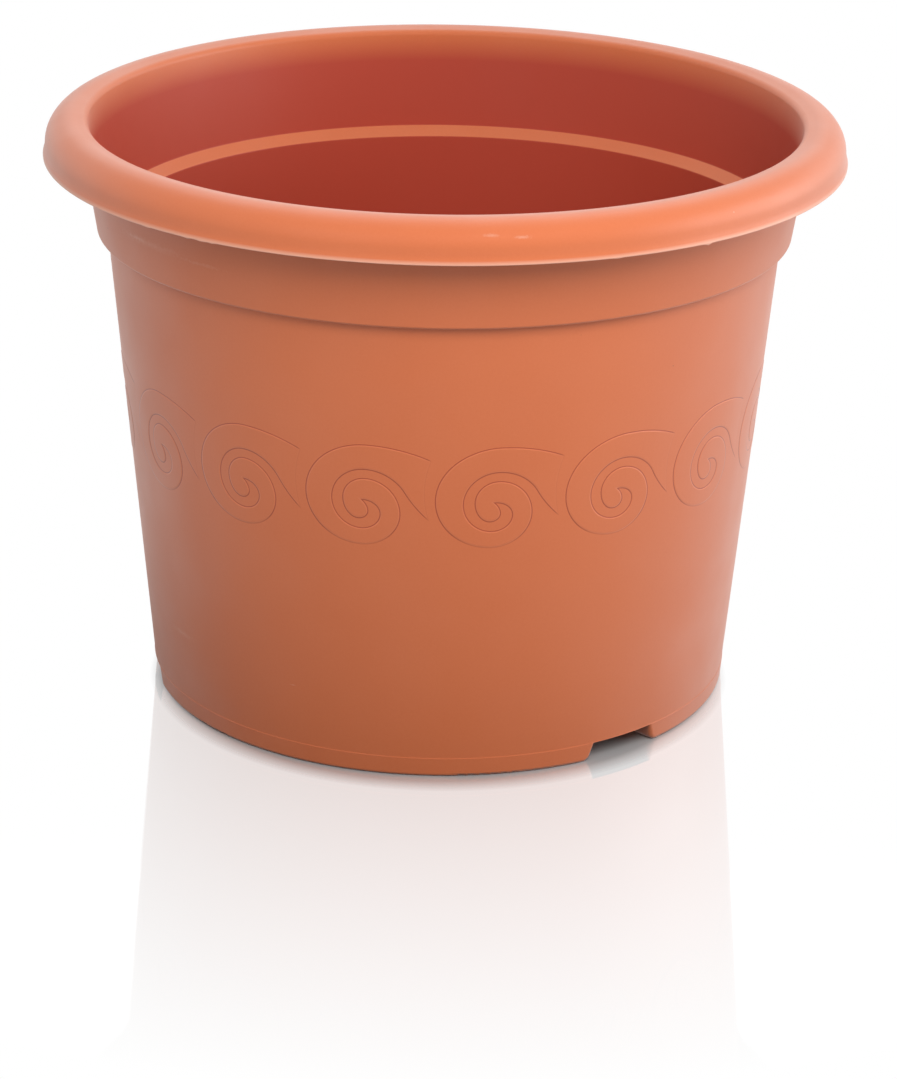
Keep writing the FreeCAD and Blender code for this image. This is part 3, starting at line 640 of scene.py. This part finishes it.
def add_marks(tree, place, ground):
    """Lays the marks over the ground colour, on the pot's surface unrolled to girth and height."""
    axes = add_node(tree, "ShaderNodeSeparateXYZ", {"Vector": place})
    front = add_node(tree, "ShaderNodeMath", {0: axes.outputs["Y"], 1: -1}, operation="MULTIPLY")
    turn = add_node(tree, "ShaderNodeMath", {0: axes.outputs["X"], 1: front.outputs[0]},
                    operation="ARCTAN2")
    girth = add_node(tree, "ShaderNodeMath", {0: turn.outputs[0], 1: GIRTH_RADIUS}, operation="MULTIPLY")
    unrolled = add_node(tree, "ShaderNodeCombineXYZ", {"X": girth.outputs[0],
                                                       "Y": axes.outputs["Z"]}).outputs[0]
    ragged = add_node(tree, "ShaderNodeTexNoise", {"Vector": place, "Scale": 1 / RAGGED_SIZE,
                                                   "Detail": RAGGED_DETAIL})
    for tint, azimuth, height, length, width, strength in MARKS:
        middle = (math.radians(azimuth) * GIRTH_RADIUS, height, 0)
        offset = add_node(tree, "ShaderNodeVectorMath", {0: unrolled, 1: middle}, operation="SUBTRACT")
        shaped = add_node(tree, "ShaderNodeVectorMath", {0: offset.outputs[0], 1: (length / 2, width / 2, 1)},
                          operation="DIVIDE")
        reach = add_node(tree, "ShaderNodeVectorMath", {0: shaped.outputs[0]}, operation="LENGTH")
        broken = add_node(tree, "ShaderNodeMath", {0: ragged.outputs["Fac"], 1: RAGGED_SHARE,
                                                   2: reach.outputs["Value"]}, operation="MULTIPLY_ADD")
        cover = add_node(tree, "ShaderNodeMapRange", {"Value": broken.outputs[0], "From Min": MARK_CORE,
                                                      "From Max": MARK_END, "To Min": strength, "To Max": 0})
        mark = add_node(tree, "ShaderNodeMix", {"Factor": cover.outputs["Result"], "A": ground,
                                                "B": colour(tint)}, data_type="RGBA")
        ground = mark.outputs["Result"]
    return ground


# Camera, floor and light

IMAGE_LONG_SIDE = 1079                  # pixels of the photograph's frame
CAMERA_FOCUS = 3579.39                  # focal length in those pixels
SENSOR = 36                             # millimetres, along the long side
CAMERA_DISTANCE = 1376.6 * MM
CAMERA_AIM_HEIGHT = 112.5 * MM
CAMERA_ELEVATION = math.radians(18.9747)
CAMERA_YAW = math.radians(-0.1348)
CAMERA_PITCH = math.radians(-2.4268)
CAMERA_ROLL = math.radians(-0.8169)


def make_camera():
    data = bpy.data.cameras.new("camera")
    data.sensor_width = SENSOR
    data.lens = SENSOR * CAMERA_FOCUS / IMAGE_LONG_SIDE
    camera = bpy.data.objects.new("camera", data)
    bpy.context.scene.collection.objects.link(camera)
    stand = Matrix.Translation((0, -CAMERA_DISTANCE * math.cos(CAMERA_ELEVATION),
                                CAMERA_AIM_HEIGHT + CAMERA_DISTANCE * math.sin(CAMERA_ELEVATION)))
    level = Matrix.Rotation(math.pi / 2 - CAMERA_ELEVATION, 4, "X")
    yaw = Matrix.Rotation(CAMERA_YAW, 4, "Y")
    pitch = Matrix.Rotation(CAMERA_PITCH, 4, "X")
    roll = Matrix.Rotation(-CAMERA_ROLL, 4, "Z")
    camera.matrix_world = stand @ level @ yaw @ pitch @ roll
    bpy.context.scene.camera = camera


STAGE_SIZE = 8
STAGE_WHITE = (0.5, 0.5, 0.5, 1)
STAGE_BOUNCE_SHADE = (0.03, 0.03, 0.03, 1)      # painted shade on the floor close to the pot, only in the light that it throws back on the pot
DULL_START = 160 * MM
DULL_END = 420 * MM
SHADOW_MIDDLE = FRONT * 11 * MM         # the lamp from behind throws the contact shadow forward
SHADOW_START = BASE_RADIUS - 7 * MM
SHADOW_END = BASE_RADIUS + 2 * MM       # beyond it the floor is plain white
GLOSS_SHADOW_MIDDLE = Vector((-45, -15, 0)) * MM
GLOSS_SHADOW_END = 190 * MM             # in the pot's own gloss, where the floor near its foot shows dull
MIRROR_SHARE = 0.32                     # of the pot's picture in the polished floor, at the pot
MIRROR_END = 340 * MM
MIRROR_BLUR = 0.04
WORLD_STRENGTH = 0.32
LAMP_AIM = Vector((0, 0, 0.12))
# Soft lamps: azimuth from the front and elevation in degrees, distance, width, and power in watts
LAMPS = {
    "top_softbox": (180, 70, 2.2, 1.8, 5),
    "back_softbox": (180, 48, 2.0, 1.6, 6),
    "front_key": (15, 40, 1.0, 0.5, 6.1),
    "left_key": (-30, 30, 1.2, 0.6, 2.2),
    "right_panel": (90, 8, 2.0, 1.6, 27),
    "right_back_panel": (120, 8, 2.0, 1.6, 4.5),
    "left_panel": (-110, 12, 2.0, 1.6, 3),
}
# Lamps whose light shows in no gloss, as through crossed polarisers
POLARISED_LAMPS = ("front_key", "left_key")


def add_seen(tree):
    """1 for rays that show the stage to the camera, straight or in a gloss, and 0 for the rest."""
    ray = add_node(tree, "ShaderNodeLightPath", {})
    direct = add_node(tree, "ShaderNodeMath", {0: ray.outputs["Is Camera Ray"],
                                               1: ray.outputs["Is Glossy Ray"]}, operation="MAXIMUM")
    return add_node(tree, "ShaderNodeMath", {0: direct.outputs[0], 1: ray.outputs["Is Transmission Ray"]},
                    operation="MAXIMUM").outputs[0]


def make_stage():
    """White floor that keeps the pot's contact shadow and a faint picture of the pot, and is white beyond."""
    bpy.ops.object.select_all(action="DESELECT")
    bpy.ops.mesh.primitive_plane_add(size=STAGE_SIZE)
    floor = bpy.context.object
    floor.name = "studio_floor"
    material, tree = new_material("polished_white_floor")
    place = add_node(tree, "ShaderNodeTexCoord", {}).outputs["Object"]
    radius = add_node(tree, "ShaderNodeVectorMath", {0: place}, operation="LENGTH").outputs["Value"]
    seen = add_seen(tree)
    direct = add_node(tree, "ShaderNodeLightPath", {}).outputs["Is Camera Ray"]
    middle = add_node(tree, "ShaderNodeMix", {"Factor": direct, "A": GLOSS_SHADOW_MIDDLE,
                                              "B": SHADOW_MIDDLE}, data_type="VECTOR")
    spread = add_node(tree, "ShaderNodeVectorMath", {0: place, 1: middle.outputs["Result"]},
                      operation="DISTANCE")
    shadow_end = add_node(tree, "ShaderNodeMapRange", {"Value": direct, "To Min": GLOSS_SHADOW_END,
                                                       "To Max": SHADOW_END})
    clear = add_node(tree, "ShaderNodeMapRange", {"Value": spread.outputs["Value"], "From Min": SHADOW_START,
                                                  "From Max": shadow_end.outputs["Result"], "To Max": seen})
    mirror = add_node(tree, "ShaderNodeMapRange", {"Value": radius, "From Min": BASE_RADIUS,
                                                   "From Max": MIRROR_END, "To Min": MIRROR_SHARE,
                                                   "To Max": 0})
    mirror_seen = add_node(tree, "ShaderNodeMath", {0: mirror.outputs["Result"], 1: seen},
                           operation="MULTIPLY")
    # painted shade: close to the pot the floor's colour is dark for the light it throws back on the pot
    pale = add_node(tree, "ShaderNodeMapRange", {"Value": radius, "From Min": DULL_START,
                                                 "From Max": DULL_END, "To Min": seen})
    tone = add_node(tree, "ShaderNodeMix", {"Factor": pale.outputs["Result"], "A": STAGE_BOUNCE_SHADE,
                                            "B": STAGE_WHITE}, data_type="RGBA")
    matt = add_node(tree, "ShaderNodeBsdfDiffuse", {"Color": tone.outputs["Result"]})
    white = add_node(tree, "ShaderNodeEmission", {"Color": (1, 1, 1, 1), "Strength": 1})
    polish = add_node(tree, "ShaderNodeBsdfGlossy", {"Color": (1, 1, 1, 1), "Roughness": MIRROR_BLUR})
    ground = add_node(tree, "ShaderNodeMixShader", {0: clear.outputs["Result"], 1: matt.outputs[0],
                                                    2: white.outputs[0]})
    surface = add_node(tree, "ShaderNodeMixShader", {0: mirror_seen.outputs[0], 1: ground.outputs[0],
                                                     2: polish.outputs[0]})
    add_node(tree, "ShaderNodeOutputMaterial", {"Surface": surface.outputs[0]})
    floor.data.materials.append(material)


def make_lamps():
    for name, (azimuth, elevation, distance, width, power) in LAMPS.items():
        data = bpy.data.lights.new(name, "AREA")
        data.size = width
        data.energy = power
        lamp = bpy.data.objects.new(name, data)
        bpy.context.scene.collection.objects.link(lamp)
        lamp.visible_glossy = name not in POLARISED_LAMPS
        raised = Matrix.Rotation(-math.radians(elevation), 3, "X") @ FRONT
        reach = Matrix.Rotation(math.radians(azimuth), 3, "Z") @ raised * distance
        lamp.location = LAMP_AIM + reach
        lamp.rotation_euler = (-reach).to_track_quat("-Z", "Y").to_euler()


def make_world():
    """A weak even light on the pot, and white where the camera or a gloss looks past the stage."""
    world = bpy.data.worlds.new("studio")
    bpy.context.scene.world = world
    world.use_nodes = True
    tree = world.node_tree
    tree.nodes.clear()
    lit = add_node(tree, "ShaderNodeBackground", {"Color": (1, 1, 1, 1), "Strength": WORLD_STRENGTH})
    white = add_node(tree, "ShaderNodeBackground", {"Color": (1, 1, 1, 1), "Strength": 1})
    around = add_node(tree, "ShaderNodeMixShader", {0: add_seen(tree), 1: lit.outputs[0],
                                                    2: white.outputs[0]})
    add_node(tree, "ShaderNodeOutputWorld", {"Surface": around.outputs[0]})


make_camera()
make_stage()
make_lamps()
make_world()
polypropylene = make_polypropylene()
pieces = {
    "rim": make_rim(),
    "collar": make_collar(),
    "wall": make_wall(),
    "floor": make_floor(),
    **make_frieze(),
}
for node, piece in pieces.items():
    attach(piece, "root")
    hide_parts(node)
    piece.data.materials.append(polypropylene)
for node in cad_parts.values():
    for slot in node.material_slots:
        slot.material = polypropylene

bpy.context.scene.view_settings.view_transform = "Standard"
